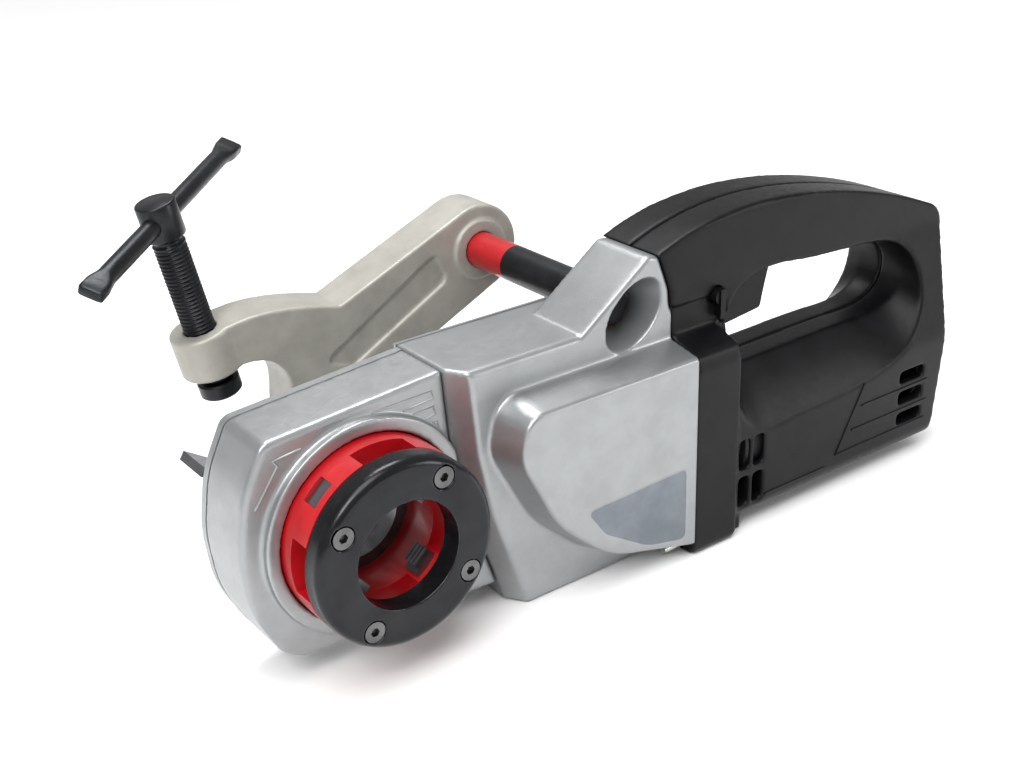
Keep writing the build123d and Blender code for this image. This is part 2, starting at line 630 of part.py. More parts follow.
def brush_box(side):
    """A brass box that guides one carbon brush; side is -1 or +1 along Y."""
    y0, y1 = sorted((MOTOR_Y + side * 14, MOTOR_Y + side * 27))
    outside = block(285, 299, y0, y1, MOTOR_Z - 6, MOTOR_Z + 6)
    return outside - block(287, 297, y0, y1, MOTOR_Z - 4, MOTOR_Z + 4)


def carbon_brush(side):
    """A carbon brush, clear of the commutator by a hair."""
    y0, y1 = sorted((MOTOR_Y + side * 12.4, MOTOR_Y + side * 21))
    return block(287.2, 296.8, y0, y1, MOTOR_Z - 3.8, MOTOR_Z + 3.8)


def brush_spring(side):
    """The spring behind one brush, as a plain sleeve of its outer size."""
    y0, y1 = sorted((MOTOR_Y + side * 21, MOTOR_Y + side * 27))
    return rod_y(292, MOTOR_Z, 3.4, y0, y1) - rod_y(292, MOTOR_Z, 2.4, y0, y1)


# ---------------------------------------------------------------- handle
def handle_side():
    """The side view of the motor housing and handle, without the hand opening."""
    top = Spline((156, 88.5), (187, 98), (222, 101.3), (262, 98.3), (300, 90.8), (335, 80.5), (356, 72.5))
    return make_face([
        top,
        ThreePointArc((356, 72.5), (363, 68), (366, 60)),
        Line((366, 60), (352, BODY_BOTTOM_Z)),
        Line((352, BODY_BOTTOM_Z), (FLANGE_END_X, BODY_BOTTOM_Z)),
        Line((FLANGE_END_X, BODY_BOTTOM_Z), (FLANGE_END_X, 61.2)),
        Line((FLANGE_END_X, 61.2), (156, 61.2)),
        Line((156, 61.2), (156, 88.5)),
    ])


def scoop_section(share):
    """The hand opening's outline: share 0 is the opening, 1 is the scoop's edge on the housing."""
    points = [(ax + share * (bx - ax), az + share * (bz - az))
              for (ax, az), (bx, bz) in zip(OPENING_POINTS, SCOOP_POINTS)]
    return make_face([Spline(*points, periodic=True)])


def hand_opening():
    """The opening through the handle with a flared scoop on both faces."""
    cut = slab(scoop_section(0), OPENING_FRONT_Y, OPENING_BACK_Y)
    for start, end in ((OPENING_FRONT_Y, HOUSING_FRONT_Y), (OPENING_BACK_Y, HOUSING_BACK_Y)):
        step = (end - start) / 2
        cut += loft([Plane.XZ.offset(-(start + k * step)) * scoop_section(share)
                     for k, share in enumerate(SCOOP_SHARES)])
    return cut


def handle_shell():
    """The whole outer shape of the motor housing and handle, before it is hollowed and split."""
    flange = outline((-46, BODY_BOTTOM_Z, 4), (26, BODY_BOTTOM_Z, 4), (26, 41, 6), (13, 45, 2),
                     (13, 60, 1), (-27, 60, 1), (-27, 46, 2), (-44, 40, 4), (-46, 33, 6))
    shell = extrude(Plane.YZ.offset(SPLIT_X) * flange, amount=FLANGE_END_X - SPLIT_X)
    foot = block(FLANGE_END_X, 206, -40, 20, BODY_BOTTOM_Z, SHELL_BOTTOM_Z)
    front, back = HOUSING_FRONT_Y, HOUSING_BACK_Y
    section = outline((front, SHELL_BOTTOM_Z, 8), (back, SHELL_BOTTOM_Z, 3), (back, 0, 30),
                      (HANDLE_BACK_Y, 60, 30), (HANDLE_BACK_Y, 105, 7), (HANDLE_FRONT_Y, 105, 7),
                      (HANDLE_FRONT_Y, 60, 30), (front, 0, 30))
    housing = extrude(Plane.YZ.offset(150) * section, amount=220) & slab(handle_side(), -60, 60)
    shell += housing - hand_opening() + foot
    return shell - slab(ridge_outline(), -60, 60)


def handle_rooms():
    """Everything cut out of the handle's shells: motor room, switch room, slots and holes."""
    room = rod_x(MOTOR_Y, MOTOR_Z, 31.5, SPLIT_X, 306) + rod_x(MOTOR_Y, MOTOR_Z, 11, 306, 316)
    room += rod_x(MOTOR_Y, MOTOR_Z, 9, 316, 320) + rod_x(MOTOR_Y, MOTOR_Z, 29, 320, 345)
    room += block(202, 262, -19, 4, 64, 92) + block(204.5, 245, -17.5, 2.5, 46, 66)
    room += rod_y(TRIGGER_X, TRIGGER_Z, 2.0, -24, 9)
    room += rod_y(LEVER_X, LEVER_Z, 4.3, -40, -19)
    room += block(LEVER_X - 5, LEVER_X + 5, -40, HANDLE_FRONT_Y, LEVER_Z - 13, LEVER_Z + 6)
    room += rod_x(GLAND_Y, GLAND_Z, 8.0, 352, 372)
    for column in range(2):
        for row in range(2):
            x = 200 + 10 * column
            z = -15 - 21 * row
            room += block(x, x + 7.5, -50, -22, z - 17, z) + block(x, x + 7.5, 2, 30, z - 17, z)
    for row in range(3):
        z = -13 - 12.5 * row
        room += block(322, 342, -50, -28, z - 7, z) + block(322, 342, 8, 30, z - 7, z)
    for x, z, head_y in HANDLE_SCREWS:
        room += rod_y(x, z, 2.0, -22, head_y) + rod_y(x, z, 3.6, head_y - 4, head_y)
    for y, z in TOP_SCREWS + BOTTOM_SCREWS:
        room += rod_x(y, z, 2.0, SPLIT_X, FLANGE_END_X + 9)
    for y, z in TOP_SCREWS:
        room += rod_x(y, z, 4.6, FLANGE_END_X, FLANGE_END_X + 9)
    for y, z in BOTTOM_SCREWS:
        room += rod_x(y, z, 3.5, FLANGE_END_X, FLANGE_END_X + 9)
    return room


def handle_screws():
    """Screws that pull the rear shell onto the front shell."""
    screws = []
    for x, z, head_y in HANDLE_SCREWS:
        screw = rod_y(x, z, 3.4, head_y - 4, head_y - 1.4) + rod_y(x, z, 2.0, -22, head_y - 4)
        screws.append(screw - slab(Pos(x, z) * RegularPolygon(1.6, 6), head_y - 3, head_y - 1.4))
    return group(screws)


def housing_screws():
    """Four long screws from the motor housing's flange into the gearbox."""
    screws = []
    for y, z in TOP_SCREWS:
        screws.append(rod_x(y, z, 4.2, FLANGE_END_X, FLANGE_END_X + 5) + rod_x(y, z, 2.0, 160, FLANGE_END_X))
    for y, z in BOTTOM_SCREWS:
        screws.append(rod_x(y, z, 3.4, FLANGE_END_X, FLANGE_END_X + 4) + rod_x(y, z, 2.0, 156, FLANGE_END_X))
    return group(screws)


def switch_module():
    """The switch behind the trigger, with its plunger stub."""
    return block(218, 260, -17, 2, 74, 91) + rod_y(222, 78, 1.5, -17.5, 2.5)


def trigger():
    """The trigger: it hangs from its pin and swings up into the handle."""
    shape = outline((206.5, 74, 3), (206.5, 39, 3), (211, 37, 2), (238, 40, 2.5), (240, 49, 3),
                    (243, 60, 2), (243, 66, 1), (216, 66, 1.5), (213.7, 74, 3))
    return slab(shape, -17, 2) - rod_y(TRIGGER_X, TRIGGER_Z, 2.0 + RUNNING, -17, 2)


def trigger_pin():
    """The pin that the trigger swings on."""
    return rod_y(TRIGGER_X, TRIGGER_Z, 2.0, -24, 9)


def direction_lever():
    """The small lever that sets the direction of rotation."""
    lever = rod_y(LEVER_X, LEVER_Z, 4.3 - 0.3, -31, -20)
    return lever + block(LEVER_X - 1.6, LEVER_X + 1.6, -32, -28.5, LEVER_Z - 11, LEVER_Z + 4)


def cable_gland():
    """The gland that the cable would leave by: a seat in the handle, a collar and the cable's bore."""
    gland = rod_x(GLAND_Y, GLAND_Z, 8.0, GLAND_START_X, GLAND_COLLAR_X)
    gland += chamfer(rod_x(GLAND_Y, GLAND_Z, GLAND_R, GLAND_COLLAR_X, GLAND_END_X).edges(), 0.8)
    return gland - rod_x(GLAND_Y, GLAND_Z, CABLE_BORE_R, GLAND_START_X, GLAND_END_X)


# ---------------------------------------------------------------- support arm and clamp
def arm_outline():
    """The arm's outline: C-shaped jaw, lever and a round end about the torque rod."""
    end_top = (ROD_X - 9.3, ROD_Z + 21.9)
    end_low = (ROD_X + 9.8, ROD_Z - 21.7)
    upper = Spline((-3, 58.5), (20, 60.2), (43, 57), (58.5, 53.2))
    lower = Polyline(end_low, (105, 19), (76, -2), (54, -32), (32, -49), (6, -51), (-14, -38), (-10.6, -25),
                     (7.9, -37), (27, -7.6))
    throat = Spline((27, -7.6), (26.5, 10), (25.5, 25), (19, 33.5), (8, 37), (-4, 36))
    return make_face([upper, Line((58.5, 53.2), end_top),
                      ThreePointArc(end_top, (ROD_X + 21.7, ROD_Z + 9.8), end_low),
                      *lower.edges(), throat, Line((-4, 36), (-3, 58.5))])


def support_arm():
    """The cast arm that holds the pipe and takes the torque."""
    front = ARM_Y - ARM_THICK / 2
    arm = slab(arm_outline(), front, front + ARM_THICK)
    boss_height = BOSS_TOP - BOSS_BOTTOM
    boss = CLAMP * Pos(0, 0, BOSS_BOTTOM + boss_height / 2) * Cylinder(BOSS_R, boss_height)
    arm += fillet(boss.edges(), 1.5)
    arm += rod_y(ROD_X, ROD_Z, 16, front - 2, front)
    recess = outline((46, 25, 3), (116, 67, 3), (124, 51, 5), (64, 19, 3))
    arm -= slab(recess, front, front + 2)
    arm -= rod_y(ROD_X, ROD_Z, ROD_R, front - 2, front + ARM_THICK - 3)
    arm -= CLAMP * Pos(0, 0, 47) * Cylinder(SCREW_R + RUNNING, 40)
    arm -= Pos(ROD_X, ARM_Y, 80) * Cylinder(3.5, 14)
    return arm


def arm_set_screw():
    """The grub screw that locks the rod in the arm."""
    return Pos(ROD_X, ARM_Y, ROD_Z + ROD_R + 5) * (Cylinder(3.5, 10) - Pos(0, 0, 4) * Cylinder(1.6, 4))


def torque_rod():
    """The rod that slides in the housing, turned down under the red sleeve."""
    back = ARM_Y + ARM_THICK / 2 - 3
    rod = rod_y(ROD_X, ROD_Z, ROD_R, ROD_START_Y, back)
    rod = chamfer([e for e in rod.edges() if e.center().Y < ROD_START_Y + 0.1], 1.2)
    neck = rod_y(ROD_X, ROD_Z, SLEEVE_BORE_R, SLEEVE_Y, SLEEVE_END_Y)
    return rod - (rod_y(ROD_X, ROD_Z, ROD_R + 1, SLEEVE_Y, SLEEVE_END_Y) - neck)


def rod_mark_sleeve():
    """The red sleeve that marks the rod's safe reach."""
    sleeve = rod_y(ROD_X, ROD_Z, ROD_R, SLEEVE_Y, SLEEVE_END_Y)
    return sleeve - rod_y(ROD_X, ROD_Z, SLEEVE_BORE_R, SLEEVE_Y, SLEEVE_END_Y)


def jaw_insert():
    """The hardened V that the pipe lies in."""
    reach = PAD_BOTTOM * math.sqrt(2)
    vee = polygon((-25.5, -reach + 25.5), (0, -reach), (21.2, -reach + 21.2), (24.7, -reach + 17.7),
                  (0, -reach - 7.0), (-29.0, -reach + 22.0))
    return CLAMP * slab(vee, -12, 12)


def clamp_screw():
    """The screw with its round head, the cross hole for the bar and a swivel tip."""
    screw = Pos(0, 0, (30 + THREAD_END) / 2) * Cylinder(SCREW_R, THREAD_END - 30)
    screw += Pos(0, 0, (THREAD_END + HEAD_BOTTOM) / 2) * Cylinder(NECK_R, HEAD_BOTTOM - THREAD_END + 2)
    screw += Pos(0, 0, 27.5) * Cylinder(6.0, 5.2)
    head = Pos(0, 0, (HEAD_BOTTOM + HEAD_TOP) / 2) * Cylinder(CLAMP_HEAD_R, HEAD_TOP - HEAD_BOTTOM)
    screw += fillet(head.edges(), 1.0)
    hole = Pos(0, 0, T_BAR_AT) * Rot(0, 0, T_BAR_TURN) * Rot(0, 90, 0) * Cylinder(T_BAR_R + RUNNING, 30)
    return CLAMP * (screw - hole)


def pressure_pad():
    """The pad that presses on the pipe and swivels on the screw's tip."""
    pad = Pos(0, 0, PAD_BOTTOM + PAD_HEIGHT / 2) * Cylinder(10.5, PAD_HEIGHT)
    pad = chamfer(pad.edges(), 0.8)
    return CLAMP * (pad - Pos(0, 0, 28) * Cylinder(6.0 + RUNNING, 6.6))


def t_bar():
    """The sliding cross bar with flattened ends."""
    bar = Cylinder(T_BAR_R, 2 * T_BAR_HALF - 15)
    for end in (-1, 1):
        flare = Pos(0, 0, end * (T_BAR_HALF - FLARE_LENGTH / 2)) * Box(FLARE_THICK, FLARE_WIDTH, FLARE_LENGTH)
        bar += Rot(0, 0, T_BAR_ROLL) * chamfer(flare.edges(), 1.0)
    placed = Pos(0, 0, T_BAR_AT) * Rot(0, 0, T_BAR_TURN) * Pos(T_BAR_SHIFT, 0, 0) * Rot(0, 90, 0) * bar
    return CLAMP * placed


# ---------------------------------------------------------------- write every sub-part
save(die_head_cover(), "die_head_cover")
save(die_head_screws(), "die_head_screws")
save(die_head_body(), "die_head_body")
for number in range(4):
    save(chaser(number), f"chaser_{number + 1}")
save(pipe_guide(), "pipe_guide")
save(drive_gear(), "drive_gear")
save(drive_bush(True), "drive_bush_front")
save(drive_bush(False), "drive_bush_rear")
save(gear_case(), "gear_case")
save(case_cover(), "case_cover")
save(plate_screws(CASE_SCREWS, CASE_BACK_Y + COVER_PLATE), "case_cover_screws")
save(gearbox_body(), "gearbox_body")
save(gearbox_cover(), "gearbox_cover")
save(plate_screws(BODY_SCREWS, BODY_BACK_Y + COVER_PLATE), "gearbox_cover_screws")
save(name_plate(), "name_plate")
save(rod_bushes(), "rod_bushes")
save(lay_shaft(), "lay_shaft")
save(lay_gear(), "lay_gear")
save(mid_shaft(), "mid_shaft")
save(bevel_wheel(), "bevel_wheel")
save(bevel_pinion(), "bevel_pinion")
for name, bearing in shaft_bearings().items():
    save(bearing, name)
save(motor_flange(), "motor_flange")
save(armature_shaft(), "armature_shaft")
save(armature_core(), "armature_core")
save(armature_windings(), "armature_windings")
save(commutator(), "commutator")
save(cooling_fan(), "cooling_fan")
save(along_x(NOSE_X + 6, MOTOR_Y, MOTOR_Z) * ring_bearing(SHAFT_R, 12.0, 8.0), "armature_bearing_front")
save(along_x(311, MOTOR_Y, MOTOR_Z) * ring_bearing(4.0, 11.0, 8.0), "armature_bearing_rear")
save(stator_core(), "stator_core")
save(field_coils(), "field_coils")
save(group([brush_box(-1), brush_box(1)]), "brush_holders")
save(group([carbon_brush(-1), carbon_brush(1)]), "carbon_brushes")
save(group([brush_spring(-1), brush_spring(1)]), "brush_springs")
shell = handle_shell() - handle_rooms()
save(shell & block(100, 400, -80, PARTING_Y, -100, 150), "handle_shell_front")
save(shell & block(100, 400, PARTING_Y, 80, -100, 150), "handle_shell_rear")
save(handle_screws(), "handle_screws")
save(housing_screws(), "housing_screws")
save(switch_module(), "switch_module")
save(trigger(), "trigger")
save(trigger_pin(), "trigger_pin")
save(direction_lever(), "direction_lever")
save(cable_gland(), "cable_gland")
save(support_arm(), "support_arm")
save(arm_set_screw(), "arm_set_screw")
save(torque_rod(), "torque_rod")
save(rod_mark_sleeve(), "rod_mark_sleeve")
save(jaw_insert(), "jaw_insert")
save(clamp_screw(), "clamp_screw")
save(pressure_pad(), "pressure_pad")
save(t_bar(), "t_bar")
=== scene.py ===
"""Looks of the pipe threading machine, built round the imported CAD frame. Metres, in the part's
own frame: +Y along the pipe to the support arm, +X to the handle, +Z up."""

import json
import math

import bmesh
import bpy
from mathutils import Matrix, Vector


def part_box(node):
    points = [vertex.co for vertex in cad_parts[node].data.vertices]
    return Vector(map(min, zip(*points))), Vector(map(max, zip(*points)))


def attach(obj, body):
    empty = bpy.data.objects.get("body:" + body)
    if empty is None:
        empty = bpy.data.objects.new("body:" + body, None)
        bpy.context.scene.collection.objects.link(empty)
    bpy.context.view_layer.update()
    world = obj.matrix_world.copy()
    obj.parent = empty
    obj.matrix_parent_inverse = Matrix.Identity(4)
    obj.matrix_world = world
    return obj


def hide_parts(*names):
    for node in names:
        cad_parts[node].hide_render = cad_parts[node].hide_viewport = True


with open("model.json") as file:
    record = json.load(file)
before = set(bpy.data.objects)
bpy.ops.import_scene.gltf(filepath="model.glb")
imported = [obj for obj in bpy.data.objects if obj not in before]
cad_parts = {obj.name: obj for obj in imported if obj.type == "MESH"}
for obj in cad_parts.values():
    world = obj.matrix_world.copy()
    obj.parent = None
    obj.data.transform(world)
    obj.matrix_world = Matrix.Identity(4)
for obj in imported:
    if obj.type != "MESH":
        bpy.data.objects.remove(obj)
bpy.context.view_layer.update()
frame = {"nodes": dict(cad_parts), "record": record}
MM = 0.001

# ---------------------------------------------------------------- places, from the frame
arm_low, arm_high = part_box("support_arm")
ARM_Y = (arm_low.y + arm_high.y) / 2
FLOOR_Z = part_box("gearbox_body")[0].z - 0.5 * MM

# ---------------------------------------------------------------- remeshed castings
WELD_DISTANCE = 1e-6
SMOOTH_FACTOR = 0.5

# ---------------------------------------------------------------- surfaces
DRIFT_SCALE = 60.0
GLOSS_SCALE = 300.0
DRIFT_CONTRAST = (0.35, 0.65)
GLOSS_CONTRAST = (0.3, 0.7)
WORN_AND_HIGHLIT_EDGE = (0.53, 0.60)
BUMP_DISTANCE = 0.0004

# ---------------------------------------------------------------- clamp, along the screw
CLAMP_TILT = math.radians(12)
T_BAR_TURN = math.radians(38)
T_BAR_ROLL = math.radians(30)
T_BAR_AT = 116.1 * MM
T_BAR_SHIFT = 6.6 * MM
T_BAR_SIDES = 40
FLARE_THICK_LIMIT = 4
FLARE_SQUARENESS = 0.35
SCREW_R = 8 * MM
THREAD_PITCH = 2 * MM
THREAD_DEPTH = 1.0 * MM
THREAD_START = 31 * MM
THREAD_END = 104 * MM
THREAD_FLANK = 1.25
SCREW_SIDES = 36
ROWS_PER_TURN = 12
JOIN_GAP = 0.01 * MM

# (height, radius) in mm
SCREW_TIP = [(24.9, 5.4), (25.3, 6.0), (30.1, 6.0), (30.2, 7.0), (31.0, 7.0)]
SCREW_HEAD = [(104.1, 6.6), (107.3, 6.6), (107.32, 8.5), (107.7, 9.3), (108.3, 9.6), (124.4, 9.6),
              (125.0, 9.3), (125.3, 8.7)]
# (distance from the middle, half width, half thickness) in mm; sections thinner than
# FLARE_THICK_LIMIT have squared corners, the others are ellipses
T_BAR_HALF = [(55, 4.6, 4.6), (60, 4.6, 4.1), (64.5, 5.2, 3.0), (67, 5.7, 3.0), (73.8, 5.85, 3.0),
              (74.6, 5.3, 2.4), (74.9, 4.9, 2.0)]


# ---------------------------------------------------------------- materials
class Nodes:
    """Short calls for building one procedural material."""

    def __init__(self, name):
        self.material = bpy.data.materials.new(name)
        self.material.use_nodes = True
        self.tree = self.material.node_tree
        self.shader = self.tree.nodes["Principled BSDF"]
        self.place = self.tree.nodes.new("ShaderNodeTexCoord").outputs["Object"]

    def link(self, out, socket):
        self.tree.links.new(out, socket)

    def noise(self, scale, detail=4.0, roughness=0.6):
        node = self.tree.nodes.new("ShaderNodeTexNoise")
        node.inputs["Scale"].default_value = scale
        node.inputs["Detail"].default_value = detail
        node.inputs["Roughness"].default_value = roughness
        self.link(self.place, node.inputs["Vector"])
        return node.outputs["Fac"]

    def remap(self, value, source, target=(0.0, 1.0)):
        node = self.tree.nodes.new("ShaderNodeMapRange")
        keys = ("From Min", "From Max", "To Min", "To Max")
        for key, number in zip(keys, (*source, *target)):
            node.inputs[key].default_value = number
        self.link(value, node.inputs["Value"])
        return node.outputs["Result"]

    def mix(self, factor, first, second):
        node = self.tree.nodes.new("ShaderNodeMix")
        node.data_type = "RGBA"
        self.link(factor, node.inputs["Factor"])
        for socket, value in ((node.inputs[6], first), (node.inputs[7], second)):
            if isinstance(value, tuple):
                socket.default_value = (*value, 1.0)
            else:
                self.link(value, socket)
        return node.outputs[2]

    def edges(self):
        geometry = self.tree.nodes.new("ShaderNodeNewGeometry")
        return self.remap(geometry.outputs["Pointiness"], WORN_AND_HIGHLIT_EDGE)

    def bump(self, height, strength):
        node = self.tree.nodes.new("ShaderNodeBump")
        node.inputs["Strength"].default_value = strength
        node.inputs["Distance"].default_value = BUMP_DISTANCE
        self.link(height, node.inputs["Height"])
        self.link(node.outputs["Normal"], self.shader.inputs["Normal"])


def finish(name, dark, light, metallic, rough, grain, depth, wear_and_highlight=None, coat=0.0, gloss=0.5):
    """A surface with colour drift, uneven gloss, fine grain and, where an edge colour is given, lighter
    edges: rubbed edges, and on the black steel also a painted highlight along the rim. Only finely
    remeshed pieces carry these edges: they read the mesh's own curvature."""
    nodes = Nodes(name)
    shader = nodes.shader
    drift = nodes.remap(nodes.noise(DRIFT_SCALE), DRIFT_CONTRAST)
    colour = nodes.mix(drift, dark, light)
    if wear_and_highlight:
        # lighter convex edges: rubbed edges, and on the black steel also a painted highlight
        colour = nodes.mix(nodes.edges(), colour, wear_and_highlight)
    nodes.link(colour, shader.inputs["Base Color"])
    unevenness = nodes.noise(GLOSS_SCALE, detail=6.0)
    nodes.link(nodes.remap(unevenness, GLOSS_CONTRAST, rough), shader.inputs["Roughness"])
    shader.inputs["Metallic"].default_value = metallic
    shader.inputs["Coat Weight"].default_value = coat
    shader.inputs["Specular IOR Level"].default_value = gloss
    nodes.bump(nodes.noise(grain, detail=3.0), depth)
    return nodes.material


# dark colour, light colour, metallic, roughness range, grain scale, grain depth
SILVER = ((0.31, 0.32, 0.325), (0.35, 0.36, 0.365), 0.72, (0.33, 0.41), 1500, 0.22)

# finish of each material slot; the first value names the material, the rest are as above
MATERIALS = {
    "silver_paint": finish("silver_casting", *SILVER, coat=0.1),
    "grey_paint": finish("warm_grey_casting", (0.34, 0.33, 0.295), (0.41, 0.40, 0.36), 0.2,
                         (0.36, 0.48), 1000, 0.30),
    "black_plastic": finish("black_plastic", (0.003, 0.003, 0.0035), (0.006, 0.006, 0.007), 0.0,
                            (0.30, 0.40), 2600, 0.22, gloss=0.18),
    "grey_plastic": finish("grey_plastic", (0.03, 0.03, 0.032), (0.05, 0.05, 0.053), 0.0,
                           (0.4, 0.5), 2400, 0.15),
    "black_rubber": finish("black_rubber", (0.012, 0.012, 0.012), (0.022, 0.022, 0.022), 0.0,
                           (0.6, 0.72), 1500, 0.2),
    "black_steel": finish("black_oxide_steel", (0.016, 0.017, 0.019), (0.030, 0.031, 0.034), 0.75,
                          (0.28, 0.40), 900, 0.08),
    "red_paint": finish("signal_red_paint", (0.37, 0.003, 0.006), (0.46, 0.006, 0.010), 0.0,
                        (0.28, 0.38), 1500, 0.06, coat=0.25),
    "bright_steel": finish("zinc_plated_steel", (0.60, 0.60, 0.58), (0.74, 0.74, 0.72), 1.0,
                           (0.20, 0.32), 1600, 0.05),
    # tool steel painted dark, standing in for the shade on the chasers inside the die head's windows
    "tool_steel": finish("ground_tool_steel", (0.09, 0.09, 0.095), (0.17, 0.17, 0.18), 0.9,
                         (0.28, 0.42), 1200, 0.08),
    "gear_steel": finish("machined_steel", (0.36, 0.36, 0.37), (0.46, 0.46, 0.47), 1.0,
                         (0.25, 0.38), 1400, 0.06),
    "bearing_steel": finish("ground_steel", (0.50, 0.50, 0.52), (0.60, 0.60, 0.62), 1.0,
                            (0.14, 0.24), 1400, 0.04),
    "bronze": finish("sintered_bronze", (0.42, 0.26, 0.11), (0.54, 0.35, 0.16), 0.9,
                     (0.34, 0.48), 1700, 0.1),
    "brass": finish("turned_brass", (0.60, 0.43, 0.15), (0.72, 0.54, 0.22), 1.0,
                    (0.22, 0.34), 1300, 0.05),
    "plate_aluminium": finish("anodised_plate", (0.32, 0.345, 0.37), (0.38, 0.405, 0.43), 0.8,
                              (0.36, 0.44), 2200, 0.05),
    "raw_aluminium": finish("raw_casting", (0.48, 0.48, 0.48), (0.58, 0.58, 0.58), 0.9,
                            (0.40, 0.55), 1100, 0.2),
    "lamination_steel": finish("laminations", (0.20, 0.20, 0.22), (0.30, 0.30, 0.32), 0.9,
                               (0.38, 0.5), 1600, 0.1),
    "copper_wire": finish("varnished_copper", (0.42, 0.14, 0.05), (0.58, 0.22, 0.08), 0.8,
                          (0.24, 0.36), 1500, 0.3, coat=0.4),
    "copper_bar": finish("turned_copper", (0.65, 0.30, 0.15), (0.76, 0.38, 0.20), 1.0,
                         (0.2, 0.3), 1400, 0.05),
    "carbon": finish("carbon_block", (0.02, 0.02, 0.02), (0.035, 0.035, 0.035), 0.1,
                     (0.55, 0.7), 1300, 0.15),
}

# finishes of the remeshed pieces, by slot, with rubbed edges; on the black steel the lighter edges are
# also a painted highlight along the rim
CAST_FINISH = {
    "silver_paint": finish("silver_casting_worn", *SILVER, wear_and_highlight=(0.52, 0.54, 0.56), coat=0.1),
    "grey_paint": finish("warm_grey_casting_worn", (0.32, 0.31, 0.275), (0.385, 0.375, 0.335), 0.2,
                         (0.36, 0.48), 1000, 0.30, wear_and_highlight=(0.50, 0.49, 0.45)),
    # black steel of the die head cover: its lighter edges are rubbed steel and also a painted highlight
    # on the rim
    "black_steel": finish("black_oxide_steel_worn_highlit_rim", (0.010, 0.0105, 0.012),
                          (0.018, 0.019, 0.021), 0.6, (0.18, 0.28), 900, 0.08,
                          wear_and_highlight=(0.15, 0.15, 0.16)),
}

# nodes that look different from the rest of their slot
FINISH_OF = {
    "die_head_screws": finish("dark_socket_screws", (0.10, 0.10, 0.10), (0.17, 0.17, 0.17), 1.0,
                              (0.22, 0.32), 1500, 0.05),
    # rod bushes: bronze painted near black, standing in for the shade of the hole they sit in
    "rod_bushes": finish("shade_darkened_bronze", (0.05, 0.035, 0.02), (0.09, 0.06, 0.03), 0.8,
                         (0.35, 0.5), 1500, 0.1),
    "stator_core": finish("varnished_laminations", (0.010, 0.010, 0.011), (0.020, 0.020, 0.022),
                          0.3, (0.5, 0.65), 1500, 0.1),
    "field_coils": finish("taped_coils", (0.012, 0.010, 0.008), (0.022, 0.018, 0.014), 0.0,
                          (0.55, 0.7), 1200, 0.3),
    "name_plate": finish("brushed_plate", (0.17, 0.19, 0.215), (0.22, 0.24, 0.265), 0.85,
                         (0.34, 0.44), 2200, 0.06),
}
SLOT_OF = {part["node"]: part["material_slot"] for part in frame["record"]["subparts"]}
BODY_OF = {node: body for body, nodes in frame["record"]["behaviour"]["bodies"].items()
           for node in nodes}


def finish_of(node):
    """The material of a node: its own, or its slot's."""
    return FINISH_OF.get(node, MATERIALS[SLOT_OF[node]])


for node, obj in frame["nodes"].items():
    obj.data.materials.clear()
    obj.data.materials.append(finish_of(node))


# ---------------------------------------------------------------- mesh helpers
def add_piece(name, mesh, node, stands_for=True):
    """Put a mesh in the scene on a node's body, with the node's finish."""
    piece = bpy.data.objects.new(name, mesh)
    bpy.context.scene.collection.objects.link(piece)
    mesh.materials.clear()
    mesh.materials.append(finish_of(node))
    for face in mesh.polygons:
        face.use_smooth = True
    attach(piece, BODY_OF[node])
    if stands_for:
        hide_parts(node)
    return piece


def evaluated_mesh(temp):
    """The mesh of an object with its modifiers or bevel applied; the object itself goes."""
    bpy.context.view_layer.update()
    mesh = bpy.data.meshes.new_from_object(temp.evaluated_get(bpy.context.evaluated_depsgraph_get()))
    bpy.data.objects.remove(temp)
    return mesh


def cast_copy(node, voxel, passes):
    """A node's shape remeshed and relaxed, so that its edges are rounded as a casting's are."""
    mesh = frame["nodes"][node].data.copy()
    work = bmesh.new()
    work.from_mesh(mesh)
    bmesh.ops.remove_doubles(work, verts=work.verts, dist=WELD_DISTANCE)
    work.to_mesh(mesh)
    work.free()
    temp = bpy.data.objects.new("temp", mesh)
    bpy.context.scene.collection.objects.link(temp)
    remesh = temp.modifiers.new("remesh", "REMESH")
    remesh.mode, remesh.voxel_size = "VOXEL", voxel
    smooth = temp.modifiers.new("smooth", "SMOOTH")
    smooth.factor, smooth.iterations = SMOOTH_FACTOR, passes
    piece = add_piece(f"{node}_cast", evaluated_mesh(temp), node)
    if SLOT_OF[node] in CAST_FINISH:
        piece.data.materials[0] = CAST_FINISH[SLOT_OF[node]]


# ---------------------------------------------------------------- castings and shells
# node: (voxel in mm, smoothing passes)
ROUNDED = {
    "gear_case": (0.9, 5),
    "gearbox_body": (0.9, 6),
    "support_arm": (0.8, 5),
    "handle_shell_front": (1.0, 14),
    "handle_shell_rear": (1.0, 14),
    "die_head_cover": (0.6, 8),
}
for node, (voxel, passes) in ROUNDED.items():
    cast_copy(node, voxel * MM, passes)


# ---------------------------------------------------------------- clamp screw with its thread
CLAMP = Matrix.Translation((0, ARM_Y, 0)) @ Matrix.Rotation(-CLAMP_TILT, 4, "Y")


def skin(work, rings):
    """Close a row of equal rings of vertices into one solid."""
    sides = len(rings[0])
    for low, high in zip(rings, rings[1:]):
        for k in range(sides):
            work.faces.new((low[k], low[(k + 1) % sides], high[(k + 1) % sides], high[k]))
    work.faces.new(list(reversed(rings[0])))
    work.faces.new(rings[-1])


def mesh_of(work, name, place):
    """Move a finished bmesh into place and turn it into a mesh."""
    work.transform(place)
    mesh = bpy.data.meshes.new(name)
    work.to_mesh(mesh)
    work.free()
    return mesh


